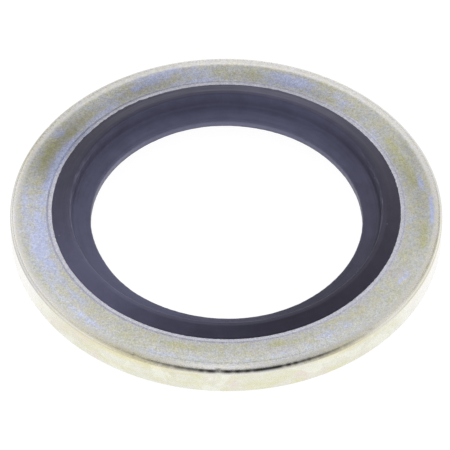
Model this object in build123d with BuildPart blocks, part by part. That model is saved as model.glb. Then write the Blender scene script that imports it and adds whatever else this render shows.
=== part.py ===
from build123d import *

import os
from math import cos, radians, tan

# Self-centring bonded sealing washer, 17.4 x 24 mm, for a G 3/8 male thread. A
# plated steel ring stops the joint from being over-tightened, and one rubber
# moulding is bonded into its bore. Millimetres, +Z along the bore axis, origin
# on that axis at half the steel's thickness.

# Driving sizes, from the thread outwards
seal_diameter = 17.4  # inside of the sealing bead, clear of the thread's crests
bead_depth = 0.96     # radial, from there out to the steel's bore
ring_width = 2.34     # radial, from the bore out to the rim
web_reach = 1.14      # radial, from the bead in to the web's bore
steel_thickness = 1.6

# Steel rim: the punch drags the upper edge down and rounds it. The lower edge
# is sheared, and tumbling only breaks it.
roll_width = 0.63
roll_drop = 0.02
punched_rim_round = 0.18
sheared_rim_break = 0.06

# Sealing bead: one on each face, standing proud of the steel
bead_proud = 0.25
crest_width = 0.25
crest_inner_break = 0.06
crest_outer_round = 0.3
wall_draft = 13.0

# Centring web: a thin dished skirt that grips the thread. Its upper lip is
# rounded, and the lower one is the mould's parting edge and stays sharp.
web_thickness = 0.52
web_dish = 10.5
web_lip_round = 0.15
web_foot_round = 0.22

seal_radius = seal_diameter / 2
bond_radius = seal_radius + bead_depth
outer_radius = bond_radius + ring_width
steel_top = steel_thickness / 2

with BuildPart() as steel_ring:
    with BuildSketch(Plane.XZ):
        with BuildLine():
            Polyline(
                (bond_radius, -steel_top),
                (outer_radius, -steel_top),
                (outer_radius, steel_top - roll_drop),
                (outer_radius - roll_width, steel_top),
                (bond_radius, steel_top),
                close=True,
            )
        make_face()
        lower_rim = (outer_radius, -steel_top)
        upper_rim = (outer_radius, steel_top - roll_drop)
        chamfer(vertices().sort_by_distance(lower_rim)[0], length=sheared_rim_break)
        fillet(vertices().sort_by_distance(upper_rim)[0], radius=punched_rim_round)
    revolve(axis=Axis.Z)
steel_ring.part.label = "steel_ring"

# The bead's inner wall leans in from the crest to a waist at the mid-plane. The
# web's centre line starts there and falls towards the thread.
crest_height = steel_top + bead_proud
waist_radius = seal_radius - crest_height * tan(radians(wall_draft))
web_radius = seal_radius - web_reach
web_slope = tan(radians(web_dish))
web_half_height = web_thickness / 2 / cos(radians(web_dish))
web_middle_at_lip = -(waist_radius - web_radius) * web_slope
web_middle_at_seal = (seal_radius - waist_radius) * web_slope

with BuildPart() as rubber_seal:
    with BuildSketch(Plane.XZ):
        with BuildLine():
            Polyline(
                (waist_radius, 0),
                (bond_radius, 0),
                (bond_radius, steel_top),
                (seal_radius + crest_width, crest_height),
                (seal_radius, crest_height),
                close=True,
            )
        make_face()
        crest_inner = (seal_radius, crest_height)
        crest_outer = (seal_radius + crest_width, crest_height)
        chamfer(vertices().sort_by_distance(crest_inner)[0], length=crest_inner_break)
        fillet(vertices().sort_by_distance(crest_outer)[0], radius=crest_outer_round)
        mirror(about=Plane.XZ)
        with BuildLine():
            Polyline(
                (web_radius, web_middle_at_lip + web_half_height),
                (web_radius, web_middle_at_lip - web_half_height),
                (seal_radius, web_middle_at_seal - web_half_height),
                (seal_radius, web_middle_at_seal + web_half_height),
                close=True,
            )
        make_face()
        upper_lip = (web_radius, web_middle_at_lip + web_half_height)
        upper_foot = (waist_radius, web_half_height)
        lower_foot = (waist_radius, -web_half_height)
        fillet(vertices().sort_by_distance(upper_lip)[0], radius=web_lip_round)
        fillet(vertices().sort_by_distance(upper_foot)[0], radius=web_foot_round)
        fillet(vertices().sort_by_distance(lower_foot)[0], radius=web_foot_round)
    revolve(axis=Axis.Z)
rubber_seal.part.label = "rubber_seal"

os.makedirs("parts", exist_ok=True)
export_step(steel_ring.part, "parts/steel_ring.step")
export_step(rubber_seal.part, "parts/rubber_seal.step")
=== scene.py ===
import math

import bpy
import numpy as np
from mathutils import Matrix, Vector


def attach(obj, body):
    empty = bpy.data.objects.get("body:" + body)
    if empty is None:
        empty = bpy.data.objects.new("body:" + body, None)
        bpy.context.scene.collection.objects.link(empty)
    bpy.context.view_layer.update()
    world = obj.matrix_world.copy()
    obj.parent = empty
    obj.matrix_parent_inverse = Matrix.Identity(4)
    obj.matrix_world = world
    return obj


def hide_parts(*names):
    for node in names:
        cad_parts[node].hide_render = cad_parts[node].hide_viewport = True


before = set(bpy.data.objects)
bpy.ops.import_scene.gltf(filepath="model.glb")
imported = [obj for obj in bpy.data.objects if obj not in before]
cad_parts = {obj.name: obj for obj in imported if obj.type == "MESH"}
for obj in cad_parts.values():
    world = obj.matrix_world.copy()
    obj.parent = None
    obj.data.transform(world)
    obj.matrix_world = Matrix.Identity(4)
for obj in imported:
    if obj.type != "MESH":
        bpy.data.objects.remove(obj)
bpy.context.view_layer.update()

MM = 0.001

# Section sizes of the two solids in millimetres, with heights from the ring's mid-plane
OUTER = 12.0  # outside of the steel
BOND = 9.66  # where the rubber meets the steel
TOP = 0.8  # half the steel's thickness
ROLL_START = 11.37  # where the punched edge starts to roll down
ROLL_END = 11.8  # where its round starts
ROLL_SLOPE = math.radians(8.0)  # how steep the roll is there
RIM_BREAK = 0.06  # round of the sheared edge
SEAL = 8.7  # inside of the bead's crest
CREST = 1.05  # half the bead's height
CREST_WIDTH = 0.25
DRAFT = math.tan(math.radians(13.0))  # lean of the bead's inner wall
WEB_THICKNESS = 0.52
WEB_REACH = 1.14
WEB_FALL = math.radians(10.5)  # the web falls this far towards the thread
FLOOR = -CREST

AROUND = 960  # vertices round the axis
azimuth = np.linspace(0, 2 * np.pi, AROUND, endpoint=False)


def waves(seed, low, high, fall=0.5):
    """A smooth random outline round the ring, with low to high waves in a turn and an rms of 1."""
    rng = np.random.default_rng(seed)
    total = np.zeros(AROUND)
    for k in range(low, high + 1):
        total += rng.normal() * np.cos(k * azimuth + rng.uniform(0, 2 * np.pi)) / k**fall
    return total / total.std()


def ridge(value, middle, width):
    """1 where the value is at its middle, falling off softly to both sides."""
    return np.exp(-(((value - middle) / width) ** 2))


def bump(centre_deg, width_deg):
    """One soft bump at an azimuth, 1 at its middle."""
    turn = np.angle(np.exp(1j * (azimuth - math.radians(centre_deg))))
    return ridge(turn, 0.0, math.radians(width_deg))


def bumps(*terms):
    """A sum of soft bumps, each given as (height, azimuth in degrees, width in degrees)."""
    return sum(height * bump(at, width) for height, at, width in terms)


def around(*stops):
    """A value round the ring from (azimuth in degrees, value) stops, with no seam."""
    at, values = zip(*stops)
    return np.interp(np.degrees(azimuth), at, values, period=360)


def smooth(value, low, high):
    """0 below low and 1 above high, with a smooth step between them."""
    t = np.clip((value - low) / (high - low), 0, 1)
    return t * t * (3 - 2 * t)


def arc(centre, radius, start_deg, end_deg, count):
    """Points on a circle arc in the section, from one angle to another."""
    turns = np.radians(np.linspace(start_deg, end_deg, count))
    return [(centre[0] + radius * math.cos(t), centre[1] + radius * math.sin(t)) for t in turns]


def line(a, b, count):
    """Points from a to b, both ends included."""
    return [tuple(np.array(a) + (np.array(b) - np.array(a)) * t) for t in np.linspace(0, 1, count)]


def corner(before, at, after, radius, count):
    """Round a section corner with an arc tangent to both of its sides."""
    a, p, b = (np.array(v, float) for v in (before, at, after))
    ua, ub = (a - p) / np.linalg.norm(a - p), (b - p) / np.linalg.norm(b - p)
    half = math.acos(np.clip(ua @ ub, -1, 1)) / 2
    start, end = p + ua * radius / math.tan(half), p + ub * radius / math.tan(half)
    centre = p + (ua + ub) / np.linalg.norm(ua + ub) * radius / math.sin(half)
    t0 = math.atan2(*(start - centre)[::-1])
    t1 = math.atan2(*(end - centre)[::-1])
    turn = (t1 - t0 + math.pi) % (2 * math.pi) - math.pi
    return [tuple(centre + radius * np.array([math.cos(t0 + turn * k), math.sin(t0 + turn * k)]))
            for k in np.linspace(0, 1, count)]


def turned_round(section):
    """Radii and heights of every vertex, as (section points, AROUND), from the section's points."""
    points = np.array(section)
    return np.repeat(points[:, :1], AROUND, 1), np.repeat(points[:, 1:], AROUND, 1)


def ring_mesh(name, radii, heights, attributes):
    """A closed band of quads round Z. radii and heights are (section points, AROUND), in mm."""
    count = radii.shape[0]
    x = radii * np.cos(azimuth)
    y = radii * np.sin(azimuth)
    points = np.stack([x, y, heights], 2).reshape(-1, 3) * MM
    r0, c0 = np.meshgrid(np.arange(count), np.arange(AROUND), indexing="ij")
    r1, c1 = (r0 + 1) % count, (c0 + 1) % AROUND
    quads = np.stack(
        [r0 * AROUND + c0, r1 * AROUND + c0, r1 * AROUND + c1, r0 * AROUND + c1], 2
    ).reshape(-1, 4)
    mesh = bpy.data.meshes.new(name)
    mesh.from_pydata(points.tolist(), [], quads.tolist())
    mesh.polygons.foreach_set("use_smooth", np.ones(len(mesh.polygons), bool))
    for key, values in attributes.items():
        made = mesh.attributes.new(key, "FLOAT", "POINT")
        everywhere = np.broadcast_to(values, radii.shape)
        made.data.foreach_set("value", everywhere.astype(np.float32).ravel())
    mesh.update()
    obj = bpy.data.objects.new(name, mesh)
    bpy.context.scene.collection.objects.link(obj)
    return obj


# Steel ring: section points from the bore's upper edge outwards, down the wall
# and back along the lower face
GROOVE = 9.95  # middle of the shallow groove round each face
GROOVE_HALF = 0.1  # half the strip of the face that is kept for it
GROOVE_SHAPE = [(-0.07, 0.0), (-0.045, -0.007), (-0.02, -0.026), (0.0, -0.03), (0.02, -0.026),
                (0.045, -0.007), (0.07, 0.0)]
CREASE = 11.41
BORE_INSET = 0.2  # the bore's first and last rows, below its edges

top_face = line((BOND, TOP), (GROOVE - GROOVE_HALF, TOP), 4)
top_face += [(GROOVE + r, TOP + z) for r, z in GROOVE_SHAPE]
top_face += line((GROOVE + GROOVE_HALF, TOP), (ROLL_START, TOP), 18)
bend = math.tan(ROLL_SLOPE) / (ROLL_END - ROLL_START)
roll = [(r, TOP - bend * (r - ROLL_START) ** 2 / 2)
        for r in np.linspace(ROLL_START, ROLL_END, 15)[1:]]
rim_radius = (OUTER - ROLL_END) / (1 - math.sin(ROLL_SLOPE))
rim_centre = (OUTER - rim_radius, roll[-1][1] - rim_radius * math.cos(ROLL_SLOPE))
rim = arc(rim_centre, rim_radius, 90 - math.degrees(ROLL_SLOPE), 0, 19)[1:]
wall = line(rim[-1], (OUTER, -TOP + RIM_BREAK), 10)[1:-1]
lower_rim = arc((OUTER - RIM_BREAK, -TOP + RIM_BREAK), RIM_BREAK, 0, -90, 4)
low_face = line((OUTER - RIM_BREAK - 0.06, -TOP), (GROOVE + GROOVE_HALF, -TOP), 9)
low_face += [(GROOVE - r, -TOP - z) for r, z in GROOVE_SHAPE]
low_face += line((GROOVE - GROOVE_HALF, -TOP), (BOND, -TOP), 3)
bore = line((BOND, -TOP + BORE_INSET), (BOND, TOP - BORE_INSET), 3)
radii, heights = turned_round(top_face + roll + rim + wall + lower_rim + low_face + bore)
level_top = heights > TOP - 0.05
level_low = heights < -TOP + 0.04

# The groove is deepest on the left and nearly gone on the right
groove_depth = around((0, 0.3), (30, 0.4), (60, 0.55), (120, 0.7), (150, 1.0), (190, 1.0),
                      (220, 0.75), (245, 0.45), (270, 0.35), (330, 0.3))
in_groove = (np.abs(radii - GROOVE) < 0.068) & (level_top | level_low)
face = np.where(heights > 0, TOP, -TOP)
heights = np.where(in_groove, face + (heights - face) * groove_depth, heights)

# The punched edge isn't even: the round's start wanders, and a few nicks bite it
on_rim = smooth(radii, ROLL_END - 0.1, OUTER - 0.08) * (heights > 0.3)
ragged_side = bump(270, 38)
edge_wander = (0.0015 + 0.0025 * ragged_side) * waves(3, 4, 40)
edge_wander += 0.003 * ragged_side * waves(4, 60, 260, 0.4)
edge_bite = np.maximum(edge_wander, -0.004) * 0.5
nicks = bumps((0.05, 268.3, 0.6), (0.016, 246.0, 0.5), (0.01, 292.0, 0.5), (0.02, 311.0, 0.7),
              (0.02, 62.0, 0.5), (0.025, 148.0, 0.6))
radii -= on_rim * (edge_bite + nicks * 0.4)
heights -= on_rim * (edge_bite + nicks * 0.6)

# The wall is a little out of true, and a faint crease runs along the roll's start
true_wall = (radii > OUTER - 0.02) & (heights > -TOP + 0.1) & (heights < 0.5)
radii -= true_wall * 0.003 * (1 + np.clip(waves(5, 3, 30), -1, 1))
crease = around((225, 0.0), (245, 0.8), (270, 1.0), (292, 0.8), (315, 0.0))
crease += 0.2 * np.clip(waves(6, 3, 60), -1, 1)
heights -= level_top * 0.008 * np.clip(crease, 0, 1) * ridge(radii, CREASE, 0.035)


def patches(*spots):
    """A map over the top face, from (azimuth, radius, degrees wide, mm deep, strength) spots."""
    total = np.zeros_like(radii)
    for at, radius, wide, deep, strength in spots:
        total += strength * bump(at, wide) * ridge(radii, radius, deep)
    return np.clip(total, 0, 1.3) * (heights > -TOP + 0.1)


# Clouds in the passivate, and a map of painted shade, in order of azimuth
blue = patches(
    (1, 11.38, 6, 0.12, 0.7), (2, 10.2, 12, 0.3, 0.25), (10, 11.05, 3.5, 0.18, 0.9),
    (35, 10.2, 9, 0.4, 0.5), (50, 10.55, 5, 0.4, 0.4), (57, 10.8, 8, 0.5, 0.3),
    (70, 10.3, 9, 0.35, 0.75), (71, 10.85, 9, 0.35, 1.0), (97, 10.9, 6, 0.45, 0.5),
    (98, 10.3, 9, 0.4, 0.45), (101, 10.12, 10, 0.15, 0.55), (108, 11.25, 9, 0.2, 0.4),
    (113, 10.9, 8, 0.5, 0.8), (119, 10.65, 1.7, 0.16, 1.2), (130, 10.7, 8, 0.4, 0.5),
    (134, 10.15, 10, 0.2, 0.75), (149, 10.95, 2.5, 0.22, 0.7), (150, 9.8, 10, 0.1, 0.6),
    (150, 10.1, 8, 0.15, 0.4), (150, 11.3, 4, 0.2, 0.4), (157, 10.1, 8, 0.25, 1.0),
    (168, 10.12, 8, 0.2, 1.0), (180, 10.45, 12, 0.6, 0.6), (180, 11.2, 10, 0.2, 0.6),
    (193, 10.95, 6, 0.25, 0.4), (194, 10.35, 9, 0.4, 0.85), (204, 10.8, 8, 0.45, 0.8),
    (211, 10.5, 5, 0.25, 0.3), (216, 11.2, 12, 0.2, 0.35), (221, 10.55, 5, 0.3, 0.6),
    (228, 11.05, 7, 0.3, 0.2), (230, 11.2, 5, 0.2, 0.4), (251, 11.25, 5, 0.18, 0.6),
    (264, 10.9, 6, 0.25, 0.3), (275, 11.2, 12, 0.15, 0.25), (279, 10.2, 5, 0.2, 0.3),
    (288, 11.1, 6, 0.2, 0.4), (300, 10.8, 5, 0.25, 0.6), (305, 10.55, 4, 0.2, 0.35),
    (307, 10.9, 4, 0.25, 0.4), (316, 10.7, 3, 0.2, 0.35), (318, 10.9, 4, 0.22, 0.3),
    (323.5, 10.85, 1.6, 0.12, 0.5), (330.3, 10.92, 1.8, 0.16, 0.8),
    (333.2, 11.05, 1.8, 0.14, 0.65), (358, 11.45, 6, 0.12, 0.8),
)
olive = patches(
    (12, 10.7, 4, 0.35, 0.8), (20, 10.6, 5, 0.35, 0.7), (29, 10.55, 6, 0.35, 0.75),
    (60, 10.9, 5, 0.3, 0.3), (81, 10.7, 5, 0.35, 0.7), (94, 10.8, 5, 0.3, 0.5),
    (105, 10.5, 5, 0.3, 0.3), (126, 10.6, 5, 0.35, 0.3), (138, 10.6, 5, 0.4, 0.7),
    (147, 10.5, 4, 0.4, 0.6), (156, 10.85, 6, 0.3, 1.0), (163, 10.7, 4, 0.25, 0.5),
    (228, 10.4, 6, 0.3, 0.3), (240, 11.0, 7, 0.3, 0.6), (245, 11.3, 5, 0.2, 0.3),
    (255, 10.45, 4, 0.25, 0.8), (262, 10.5, 4, 0.2, 0.6), (286, 10.4, 5, 0.22, 0.8),
    (292, 10.55, 3, 0.15, 0.6), (310, 10.6, 5, 0.3, 0.4), (323, 10.5, 4, 0.25, 0.4),
    (324, 11.2, 6, 0.25, 0.4), (340, 10.4, 6, 0.3, 0.3), (346, 11.2, 3, 0.2, 0.6),
    (351, 11.05, 5, 0.25, 0.8),
)
# Painted shade and light round the ring, mixed with the passivate's own uneven tone: positive
# darkens the plate, negative lightens it
shade = patches(
    (0, 9.9, 20, 0.15, 0.15), (5, 11.0, 17, 0.6, 0.4), (10, 10.5, 12, 0.4, 0.2),
    (18, 10.1, 12, 0.3, 0.3), (24, 11.2, 6, 0.2, 0.3), (50, 10.95, 8, 0.35, -0.2),
    (60, 10.2, 10, 0.3, 0.15), (72, 10.4, 26, 1.0, 0.35), (78, 10.3, 14, 0.4, 0.2),
    (118, 9.8, 10, 0.12, -0.4), (118, 10.4, 17, 0.9, 0.75), (149, 10.6, 14, 0.9, 0.85),
    (150, 9.8, 10, 0.12, 0.4), (163, 10.9, 9, 0.9, 0.5), (167, 10.3, 7, 0.25, 0.25),
    (222, 10.9, 8, 0.35, -0.13), (228, 10.3, 16, 0.35, -0.15), (270, 10.1, 50, 0.25, 0.1),
    (348, 10.5, 6, 0.5, 0.1),
)
# Painted light: the near side of the top face is lightened towards its outer edge, more so round
# 222°, and tinted cooler there
near = bump(270, 75)
on_top = heights > 0.7
shade -= (0.26 * near + 0.12 * bump(222, 12)) * smooth(radii, 10.35, 11.25) * on_top
cool = 0.7 * near * (smooth(radii, 10.4, 11.2) - 0.5) * on_top

# How the plate looks by place: dull on the flats, lilac inside the groove, paler where it
# rolls over in painted light, and pale on the wall, with a painted highlight at its ends
on_flat = ((np.abs(heights) > TOP - 0.05) & (radii < OUTER - 0.3)).astype(float)
on_lilac = on_flat * (1 - smooth(radii, GROOVE + 0.03, GROOVE + 0.12))
line_in_groove = on_flat * ridge(radii, GROOVE, 0.035) * groove_depth * (0.8 + bump(150, 38))
on_wall = smooth(radii, OUTER - 0.03, OUTER - 0.005) * (np.abs(heights) < 0.78)
# Painted highlight: the wall pales to near white where it turns edge-on, at the left and right
wall_end_highlight = smooth(np.abs(np.cos(azimuth)), 0.72, 0.95) * on_wall
far = np.clip(np.sin(azimuth), 0, 1)
near_side = np.clip(np.sin(azimuth), -1, 0)
on_band = smooth(radii - (11.42 - 0.2 * far), 0.0, 0.25) * (heights > 0.55)

# Brightness of the rolled band and of the round outside it: painted light and shade that vary round
# the ring
band_level = 0.55 + 0.21 * far + 0.13 * near_side + bumps(
    (0.22, 268, 13), (-0.03, 300, 15), (-0.04, 180, 25), (-0.03, 120, 20))
rim_level = 0.60 + 0.11 * far + bumps(
    (0.26, 270, 46), (-0.07, 150, 20), (0.12, 186, 14), (0.05, 322, 16))
round_over = smooth(radii, ROLL_END - 0.04, ROLL_END + 0.08)
band_level = band_level + (rim_level - band_level) * round_over
# Painted glints on the band where it starts to round over
glint = bumps((0.32, 165, 9), (0.13, 142, 12), (0.1, 182, 10))
band_level *= 1 + glint * ridge(radii, ROLL_END, 0.09)
# Painted shade along the outer edge of the round, lightened instead round 352°, then a painted
# highlight round 317°
dimmer = bumps((0.17, 192, 20), (0.13, 150, 14), (0.06, 326, 10), (-0.24, 352, 14))
band_level *= 1 - dimmer * smooth(radii, 11.88, 11.95)
band_level *= 1 + 0.3 * bump(317, 12) * ridge(radii, 11.85, 0.06)

# Painted reflection: a dark line along the near edge's round, where it mirrors dark surroundings,
# broken where the big nick is
dark_reflection = bumps((1.0, 279, 25), (0.15, 263, 8))
dark_reflection *= np.clip(1 + 0.14 * waves(21, 20, 220, 0.3), 0.6, 1.1) * (1 - 0.6 * bump(268.3, 0.9))
dark_reflection_mask = np.clip(dark_reflection, 0, 1) * ridge(radii, 11.907 - 0.03 * bump(290, 9), 0.094)
dark_reflection_mask *= smooth(heights, 0.55, 0.68)
band_level *= 1 - 0.94 * dark_reflection_mask

yellow = bumps((1.0, 245, 13), (0.7, 302, 9), (0.45, 340, 24), (0.4, 158, 14), (0.3, 226, 9))
yellow = yellow * smooth(radii, ROLL_END - 0.25, ROLL_END) * (heights > 0.3)
stain = bumps((0.9, 249, 12), (1.0, 296, 12), (0.35, 272, 30)) * ridge(heights, 0.645, 0.055)
stain *= radii > ROLL_END
washer = ring_mesh("steel_ring_plated", radii, heights, {
    "blue": blue, "olive": olive, "shade": shade, "cool": cool, "flat": on_flat, "band": on_band,
    "band level": band_level, "lilac": on_lilac, "groove": line_in_groove,
    "wall": np.maximum(on_wall, round_over), "ends": wall_end_highlight, "yellow": yellow, "stain": stain,
})


# Rubber seal: from the flash on the steel over the crest, down the bead's inner
# wall, round the web, and back up the other side to the bond
web_half = WEB_THICKNESS / 2 / math.cos(WEB_FALL)  # measured along Z
web_slope = math.tan(WEB_FALL)
waist = SEAL - CREST * DRAFT
web_bore = SEAL - WEB_REACH
lip_middle = -(waist - web_bore) * web_slope


def half_bead(side):
    """The bead on one side, 1 or -1, from the steel's edge over the crest to the web's root."""
    foot_z = (side * web_half) / (1 - side * web_slope * DRAFT)
    foot = (waist + side * foot_z * DRAFT if side > 0 else waist - foot_z * DRAFT, foot_z)
    flank_end = (BOND, side * TOP)
    outer_corner, inner_corner = (SEAL + CREST_WIDTH, side * CREST), (SEAL, side * CREST)
    lip = (web_bore, lip_middle + side * web_half)
    over = corner(flank_end, outer_corner, inner_corner, 0.3, 6)
    inner = corner(outer_corner, inner_corner, foot, 0.1, 5)
    root = corner(inner_corner, foot, lip, 0.22, 7)
    flank = line(flank_end, over[0], 9)
    points = flank[:-1] + over + inner + line(inner[-1], root[0], 6)[1:-1] + root
    return points, foot, lip


upper, upper_foot, upper_lip = half_bead(1)
lower, lower_foot, lower_lip = half_bead(-1)
lip_round = corner(upper_foot, upper_lip, lower_lip, 0.15, 6)
lip_edge = corner(upper_lip, lower_lip, lower_foot, 0.02, 3)
rubber = upper + line(upper[-1], lip_round[0], 12)[1:-1] + lip_round
rubber += line(lip_round[-1], lip_edge[0], 5)[1:-1] + lip_edge
rubber += line(lip_edge[-1], lower[-1], 9)[1:-1] + lower[::-1]
rubber += line((BOND, -TOP + BORE_INSET), (BOND, TOP - 0.1), 3)
rubber += [(BOND, TOP), (BOND + 0.01, TOP)]
radii, heights = turned_round(rubber)

# Flash: a ragged film of rubber that crept over the steel's edge. The section's last
# row is its foot on the steel, and the first row is its top.
raggedness = 0.5 + bumps((0.9, 150, 50), (0.5, 325, 30))
creep = 0.025 + raggedness * (0.014 * waves(11, 2, 24) + 0.012 * waves(12, 24, 240, 0.3))
creep = np.clip(creep, 0.004, 0.1)
radii[-1] = radii[0] = BOND + creep
heights[-1] = TOP + 0.001
heights[0] = TOP + 0.006

# The web is soft: its lip wanders, and it hangs a little off centre
reach = np.clip((waist - radii) / (waist - web_bore), 0, 1)
lip_wander = 0.01 * waves(13, 2, 9) + 0.003 * waves(14, 20, 120, 0.3)
off_centre = 0.02 * np.cos(azimuth) - 0.03 * far - 0.06 * bump(205, 16)
radii += reach * (np.clip(lip_wander, -0.03, 0.02) + off_centre)
heights += reach * 0.012 * waves(15, 2, 7)
on_crest = (np.abs(heights) > 0.9) & (radii < 9.1)
radii += on_crest * 0.006 * waves(16, 3, 20)

# How the rubber looks by place: paler inside the bead and along the web's upper lip, both painted
# light from the white floor seen through the hole
inside = np.clip((SEAL + 0.05 - radii) / 0.08, 0, 1) * (0.8 - bumps((0.6, 312, 44), (0.2, 12, 30)))
# Painted shade along the top of the inner wall, less of it round 190°
inside -= (0.32 - 0.3 * bump(190, 25)) * ridge(radii, 8.57, 0.12) * (heights > 0.1)
# Painted reflection on the web's upper lip, its level varying round the ring
lip_level = 0.36 + bumps((0.4, 88, 45), (0.6, 150, 22), (-0.35, 185, 14), (0.15, 25, 15))
on_lip = smooth(-radii, -web_bore - 0.09, -web_bore - 0.02)
on_lip *= heights > lip_middle - web_half + 0.03
on_lip *= 0.2 + 0.8 * smooth(-heights, -0.03, 0.16)
# Paler, bluish patches of the rubber round the ring, at given azimuths
pale_patches = bumps((0.55, 68, 34), (0.2, 122, 22), (1.2, 218, 28), (0.2, 180, 25), (0.22, 262, 20))
scuffed = bumps((0.9, 180, 24), (0.9, 355, 14), (0.4, 212, 10), (0.3, 20, 12))
seal = ring_mesh("rubber_seal_moulded", radii, heights, {
    "inside": inside, "lip": on_lip * np.clip(lip_level, 0, 1), "pale_patches": pale_patches, "scuffed": scuffed,
})


class Nodes:
    """Builds a material's or world's node tree in few lines."""

    def __init__(self, owner):
        owner.use_nodes = True
        self.tree = owner.node_tree
        self.tree.nodes.clear()

    def add(self, kind, *inputs, **named):
        """A node, with its inputs in order and its properties or inputs by name."""
        node = self.tree.nodes.new(kind)
        for key, value in named.items():
            if hasattr(node, key):
                setattr(node, key, value)
            else:
                self.put(node.inputs[key.replace("_", " ")], value)
        for socket, value in zip(node.inputs, inputs):
            if value is not None:
                self.put(socket, value)
        return node

    def put(self, socket, value):
        """Link a socket to the input, or set the input's own value."""
        if isinstance(value, bpy.types.NodeSocket):
            self.tree.links.new(value, socket)
        elif socket.type == "RGBA" and len(value) == 3:
            socket.default_value = (*value, 1.0)
        else:
            socket.default_value = value

    def math(self, operation, *values, clamp=False):
        return self.add("ShaderNodeMath", *values, operation=operation, use_clamp=clamp).outputs[0]

    def plus(self, a, b):
        return self.math("ADD", a, b)

    def minus(self, a, b):
        return self.math("SUBTRACT", a, b)

    def times(self, a, b, clamp=False):
        return self.math("MULTIPLY", a, b, clamp=clamp)

    def less(self, share, value):
        """1 less a share of the value."""
        return self.minus(1.0, self.times(value, share))

    def ramp(self, value, low, high, out_low=0.0, out_high=1.0):
        """value from low..high to out_low..out_high, smoothly and clamped."""
        return self.add(
            "ShaderNodeMapRange", value, low, high, out_low, out_high,
            interpolation_type="SMOOTHSTEP",
        ).outputs[0]

    def noise(self, place, scale, detail, rough, distortion=0.0):
        node = self.add("ShaderNodeTexNoise", Scale=scale, Detail=detail, Roughness=rough,
                        Distortion=distortion)
        self.put(node.inputs["Vector"], place)
        return node.outputs["Fac"]

    def mix(self, amount, a, b, blend="MIX"):
        node = self.add("ShaderNodeMix", data_type="RGBA", blend_type=blend)
        self.put(node.inputs["Factor"], amount)
        self.put(node.inputs[6], a)
        self.put(node.inputs[7], b)
        return node.outputs[2]

    def colour(self, red, green, blue):
        return self.add("ShaderNodeCombineColor", red, green, blue).outputs[0]

    def attribute(self, name):
        return self.add("ShaderNodeAttribute", attribute_name=name).outputs["Fac"]

    def place(self, offset=(0.0, 0.0, 0.0)):
        """Object coordinates in millimetres."""
        object_place = self.add("ShaderNodeTexCoord").outputs["Object"]
        mapping = self.add("ShaderNodeMapping", Scale=(1 / MM, 1 / MM, 1 / MM), Location=offset)
        self.put(mapping.inputs["Vector"], object_place)
        return mapping.outputs["Vector"]

    def split(self, place):
        """X, Y, Z and the distance from the axis."""
        x, y, z = self.add("ShaderNodeSeparateXYZ", place).outputs
        return x, y, z, self.math("SQRT", self.plus(self.times(x, x), self.times(y, y)))

    def round_place(self, place, along, across, up):
        """Coordinates for marks that run round the axis: stretched along the turn, with no seam."""
        x, y, z, radius = self.split(place)
        safe = self.math("MAXIMUM", radius, 0.001)
        u = self.times(self.math("DIVIDE", x, safe), along)
        v = self.times(self.math("DIVIDE", y, safe), along)
        w = self.plus(self.times(radius, across), self.times(z, up))
        return self.add("ShaderNodeCombineXYZ", u, v, w).outputs[0]

    def surface(self, colour, relief, **settings):
        """A Principled shader with its colour and relief, as the material's output."""
        shader = self.add("ShaderNodeBsdfPrincipled", **settings)
        self.put(shader.inputs["Base Color"], colour)
        self.put(shader.inputs["Normal"], relief.outputs[0])
        self.add("ShaderNodeOutputMaterial", shader.outputs[0])
        return shader


# Colours of the plate, pale where it curves or stands up
STRAW = (0.80, 0.785, 0.575)
CREAM = (0.825, 0.82, 0.72)
BLUSH = (0.83, 0.765, 0.685)
MILKY = (0.88, 0.88, 0.78)
# painted highlight for the wall's edge-on ends
WALL_END_HIGHLIGHT = (0.97, 0.955, 0.925)
# and duller on the flat faces
KHAKI = (0.442, 0.430, 0.344)
GREY = (0.423, 0.432, 0.432)
MAUVE = (0.423, 0.409, 0.423)
BRASSY = (0.410, 0.400, 0.288)
COOL = (0.410, 0.432, 0.480)
OLIVE = (0.392, 0.388, 0.225)
BLUE = (0.41, 0.45, 0.645)
LILAC_DARK, LILAC_LIGHT = (0.42, 0.42, 0.45), (0.48, 0.48, 0.56)
GROOVE_LINE = (0.20, 0.21, 0.33)
PIT = (0.30, 0.28, 0.24)
# Two stains that are multiplied over the plate
YELLOWED = (1.0, 0.96, 0.76)
BROWNED = (0.64, 0.62, 0.52)


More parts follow.
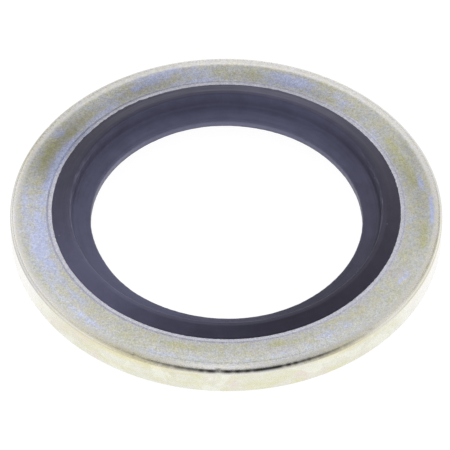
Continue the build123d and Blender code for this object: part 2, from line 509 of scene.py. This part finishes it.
def plated():
    """Zinc plate with a yellow passivate: pale khaki, clouded olive and blue, with a fine grain."""
    material = bpy.data.materials.new("yellow passivated zinc")
    n = Nodes(material)
    place = n.place()
    cloud = n.noise(place, 0.55, 4.0, 0.6, 0.8)
    mottle = n.noise(place, 2.4, 3.0, 0.5, 0.6)
    edge = n.noise(place, 1.35, 4.0, 0.55, 0.7)
    fleck = n.noise(place, 7.0, 3.0, 0.65)
    grain = n.noise(place, 17.0, 2.0, 0.6)
    drift = n.noise(n.place(offset=(31.0, 17.0, 5.0)), 0.9, 4.0, 0.6, 1.0)
    streak = n.noise(n.round_place(place, 12.0, 1.2, 3.0), 1.0, 4.0, 0.55)
    pale = n.mix(n.ramp(streak, 0.36, 0.60), STRAW, CREAM)
    pale = n.mix(n.ramp(drift, 0.48, 0.66), pale, BLUSH)
    pale = n.mix(n.ramp(cloud, 0.50, 0.62), pale, MILKY)
    # Painted highlight where the wall turns edge-on at its ends
    pale = n.mix(n.attribute("ends"), pale, WALL_END_HIGHLIGHT)
    dull = n.mix(n.ramp(mottle, 0.36, 0.64), KHAKI, GREY)
    dull = n.mix(n.ramp(cloud, 0.50, 0.68, 0.0, 0.7), dull, MAUVE)
    dull = n.mix(n.ramp(drift, 0.52, 0.70, 0.0, 0.55), dull, BRASSY)
    dull = n.mix(n.attribute("cool"), dull, COOL)
    colour = n.mix(n.attribute("flat"), pale, dull)

    ragged = n.minus(n.plus(n.times(edge, 0.7), n.times(mottle, 0.3)), 0.5)
    ragged = n.times(ragged, 1.7)

    def blotch(name):
        """A patch map with its edge broken up by noise."""
        return n.times(n.ramp(n.plus(n.attribute(name), ragged), 0.10, 1.0), 0.85)

    colour = n.mix(blotch("olive"), colour, OLIVE)
    colour = n.mix(n.attribute("lilac"), colour, n.mix(mottle, LILAC_DARK, LILAC_LIGHT))
    colour = n.mix(n.times(n.attribute("groove"), 0.45, clamp=True), colour, GROOVE_LINE)
    # The band's colour is its level of painted light and shade, a little less blue
    level = n.attribute("band level")
    band = n.colour(level, n.times(level, 0.98),
                    n.times(level, n.ramp(mottle, 0.4, 0.6, 0.90, 0.97)))
    colour = n.mix(n.attribute("band"), colour, band)
    colour = n.mix(n.attribute("yellow"), colour, YELLOWED, "MULTIPLY")
    stained = n.times(n.attribute("stain"), n.ramp(fleck, 0.35, 0.6, 0.5, 1.0), clamp=True)
    colour = n.mix(stained, colour, BROWNED, "MULTIPLY")
    colour = n.mix(blotch("blue"), colour, BLUE)

    # Grain, flecks and pits, which nearly go where the plate is even
    even = n.math("MAXIMUM", n.attribute("wall"), n.times(n.attribute("band"), 0.7))
    value = n.times(n.ramp(grain, 0.25, 0.75, 0.75, 1.19), n.ramp(fleck, 0.2, 0.8, 0.80, 1.18))
    value = n.mix(n.times(even, 0.75), value, (1.0, 1.0, 1.0))
    # Painted shade and light from the shade map, with the plate's own uneven tone
    value = n.times(value, n.less(0.5, n.attribute("shade")))
    colour = n.mix(1.0, colour, n.colour(value, value, value), "MULTIPLY")
    pits = n.ramp(n.noise(place, 9.0, 2.0, 0.7), 0.70, 0.78)
    pits = n.times(pits, n.less(0.8, even))
    colour = n.mix(n.times(pits, 0.55), colour, PIT)

    rough = n.plus(n.ramp(fleck, 0.3, 0.7, 0.24, 0.34), n.times(n.attribute("flat"), 0.06))
    height = n.minus(n.plus(n.times(grain, 0.5), fleck), n.times(pits, 0.8))
    relief = n.add("ShaderNodeBump", Strength=n.minus(0.35, n.times(even, 0.32)),
                   Distance=0.02 * MM, Height=height)
    n.surface(colour, relief, Metallic=1.0, Roughness=rough)
    return material


# Colours of the rubber
RUBBER_DARK, RUBBER_LIGHT = (0.013, 0.0115, 0.0165), (0.022, 0.0200, 0.0285)
PALE_PATCH = (0.086, 0.085, 0.145)
# painted light inside the bead
INSIDE = (0.086, 0.088, 0.152)
# painted reflection on the web's upper lip
LIP = (0.26, 0.26, 0.37)
SCUFF = (0.26, 0.26, 0.33)
SHEEN_TINT = (0.66, 0.66, 1.0)

# Pale specks on the rubber, as (azimuth, radius, height, size)
SPECKS = ((198, 8.65, 1.03, 0.06), (16, 8.62, 0.75, 0.06), (194, 9.48, 0.88, 0.05),
          (351, 8.99, 1.03, 0.04), (215, 8.69, 1.05, 0.04), (325, 8.63, 1.0, 0.09))


def moulded():
    """Matt nitrile rubber, faintly violet, with fine moulding grain and flow marks."""
    material = bpy.data.materials.new("moulded nitrile rubber")
    n = Nodes(material)
    place = n.place()
    grain = n.noise(place, 14.0, 3.0, 0.6)
    cloud = n.noise(place, 1.1, 3.0, 0.6)
    lines = n.noise(n.round_place(place, 2.2, 9.0, 9.0), 1.0, 4.0, 0.6)
    tone = n.ramp(n.plus(n.times(cloud, 0.6), n.times(lines, 0.4)), 0.3, 0.7)
    colour = n.mix(tone, RUBBER_DARK, RUBBER_LIGHT)
    paled = n.times(n.attribute("pale_patches"), n.ramp(cloud, 0.2, 0.8, 0.75, 1.0), clamp=True)
    colour = n.mix(paled, colour, PALE_PATCH)
    # Painted light inside the bead
    paler = n.times(n.attribute("inside"), n.ramp(cloud, 0.2, 0.8, 0.6, 1.0))
    colour = n.mix(paler, colour, INSIDE)
    # Painted reflection on the web's upper lip
    colour = n.mix(n.times(n.attribute("lip"), 0.8), colour, LIP)

    # Scuffs: broken streaks along a line that wanders round the top of the inner wall
    x, y, z, radius = n.split(place)
    scuff_line = n.plus(8.53, n.times(n.noise(place, 1.3, 2.0, 0.5), 0.2))
    off_line = n.math("ABSOLUTE", n.minus(radius, scuff_line))
    broken = n.noise(n.round_place(place, 9.0, 8.0, 8.0), 1.0, 3.0, 0.6)
    scuff = n.times(n.ramp(off_line, 0.02, 0.07, 1.0, 0.0), n.ramp(z, 0.5, 0.8))
    scuff = n.times(scuff, n.ramp(broken, 0.46, 0.62))
    scuff = n.times(scuff, n.attribute("scuffed"), clamp=True)
    for at, r, up, size in SPECKS:
        a = math.radians(at)
        away = n.add("ShaderNodeVectorMath", place, (r * math.cos(a), r * math.sin(a), up),
                     operation="DISTANCE").outputs["Value"]
        scuff = n.math("MAXIMUM", scuff, n.ramp(away, size * 0.4, size, 0.8, 0.0))
    colour = n.mix(n.times(scuff, 0.7), colour, SCUFF)

    relief = n.add("ShaderNodeBump", Strength=0.3, Distance=0.012 * MM,
                   Height=n.plus(grain, n.times(lines, 0.8)))
    shader = n.surface(colour, relief, Roughness=n.ramp(lines, 0.3, 0.7, 0.40, 0.58),
                       Specular_IOR_Level=0.6)
    n.put(shader.inputs["Specular Tint"], SHEEN_TINT)
    return material


washer.data.materials.append(plated())
seal.data.materials.append(moulded())

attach(washer, "root")
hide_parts("steel_ring")
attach(seal, "root")
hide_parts("rubber_seal")

# Floor: white where it is seen, and it keeps the washer's shadow
FLOOR_HALF = 2.0  # in metres
floor_mesh = bpy.data.meshes.new("floor")
floor_mesh.from_pydata(
    [(x * FLOOR_HALF, y * FLOOR_HALF, FLOOR * MM) for x, y in ((-1, -1), (1, -1), (1, 1), (-1, 1))],
    [], [(0, 1, 2, 3)],
)
floor = bpy.data.objects.new("floor", floor_mesh)
bpy.context.scene.collection.objects.link(floor)
floor_material = bpy.data.materials.new("white floor")
floor_mesh.materials.append(floor_material)
n = Nodes(floor_material)
path = n.add("ShaderNodeLightPath")
seen = n.math("MAXIMUM", path.outputs["Is Camera Ray"], path.outputs["Is Glossy Ray"])
plain = n.add("ShaderNodeBsdfDiffuse", Color=(0.85, 0.85, 0.85))
shadow = n.add("ShaderNodeBsdfDiffuse", Color=(0.10, 0.10, 0.10))
glow = n.add("ShaderNodeEmission", Color=(1.0, 1.0, 1.0), Strength=0.96)
white = n.add("ShaderNodeAddShader", shadow.outputs[0], glow.outputs[0])
shown = n.add("ShaderNodeMixShader", seen, plain.outputs[0], white.outputs[0])
n.add("ShaderNodeOutputMaterial", shown.outputs[0])

# World: a pale studio, bright at the horizon, with a dim region overhead, one behind
# the soft box and one at the far left
world = bpy.data.worlds.new("studio")
bpy.context.scene.world = world
n = Nodes(world)
direction = n.add("ShaderNodeTexCoord").outputs["Generated"]


def cone(across, along, height, outer_deg, inner_deg, narrow=1.0):
    """1 inside a cone of the sky round a direction, 0 outside it, narrower across by narrow."""
    middle = Vector((across * narrow, along, height)).normalized()
    squeezed = n.add("ShaderNodeVectorMath", direction, (narrow, 1.0, 1.0),
                     operation="MULTIPLY").outputs[0]
    unit = n.add("ShaderNodeVectorMath", squeezed, operation="NORMALIZE").outputs[0]
    dot = n.add("ShaderNodeVectorMath", unit, middle, operation="DOT_PRODUCT").outputs["Value"]
    return n.ramp(dot, math.cos(math.radians(outer_deg)), math.cos(math.radians(inner_deg)))


overhead = cone(0.05, -0.267, 0.964, 37, 24, 1.15)
behind_box = cone(-0.1, 0.588, 0.809, 16, 9, 0.4)
far_left = cone(-0.45, 0.80, 0.40, 26, 6)
upward_part = n.add("ShaderNodeSeparateXYZ", direction).outputs["Z"]
horizon = n.ramp(upward_part, 0.08, 0.60, 1.0, 0.0)
sky = n.plus(n.minus(0.78, n.times(behind_box, 0.55)), n.times(horizon, 0.65))
sky = n.times(sky, n.less(0.4, far_left))
sky = n.times(sky, n.less(0.68, overhead))
is_camera = n.add("ShaderNodeLightPath").outputs["Is Camera Ray"]
background = n.add("ShaderNodeBackground", Strength=n.math("MAXIMUM", sky, is_camera),
                   Color=(1.0, 1.0, 1.0))
n.add("ShaderNodeOutputWorld", background.outputs[0])

# Soft box above and behind the washer
RADIANCE = 1.25
light = bpy.data.lights.new("soft box", "AREA")
light.shape = "RECTANGLE"
light.size, light.size_y = 130 * MM, 60 * MM
light.energy = RADIANCE * math.pi * light.size * light.size_y
box_light = bpy.data.objects.new("soft box", light)
box_light.location = Vector((-20, 69, 94.5)) * MM
box_light.rotation_euler = (math.atan2(-60, 100), 0, 0)
box_light.visible_camera = False
bpy.context.scene.collection.objects.link(box_light)

# Camera, as fitted to the photograph's ellipses: its distance from a point on the axis,
# the point's height, its elevation, and the small turns away from that point
ELEVATION, DISTANCE, AIM_HEIGHT = 46.7528, 178.7866, 0.75
TILT, PAN, ROLL = 0.3061, -0.0197, 0.3924
FOCAL_PX, IMAGE_PX = 3219.55, 450


def turned(a, b, angle_deg):
    """Two directions at right angles, turned in their plane from a towards b."""
    c, s = math.cos(math.radians(angle_deg)), math.sin(math.radians(angle_deg))
    return a * c + b * s, b * c - a * s


c, s = math.cos(math.radians(ELEVATION)), math.sin(math.radians(ELEVATION))
ahead, right, upward = Vector((0, c, -s)), Vector((1, 0, 0)), Vector((0, s, c))
ahead, upward = turned(ahead, upward, -TILT)
ahead, right = turned(ahead, right, PAN)
right, upward = turned(right, upward, ROLL)
camera_data = bpy.data.cameras.new("camera")
camera_data.sensor_width = 36.0
camera_data.lens = FOCAL_PX * camera_data.sensor_width / IMAGE_PX
camera_data.clip_start, camera_data.clip_end = 0.01, 10.0
camera = bpy.data.objects.new("camera", camera_data)
stand = Vector((0, -DISTANCE * c, DISTANCE * s + AIM_HEIGHT)) * MM
rotation = Matrix((right, upward, -ahead)).transposed()
camera.matrix_world = Matrix.Translation(stand) @ rotation.to_4x4()
bpy.context.scene.collection.objects.link(camera)
bpy.context.scene.camera = camera
bpy.context.scene.view_settings.view_transform = "Standard"
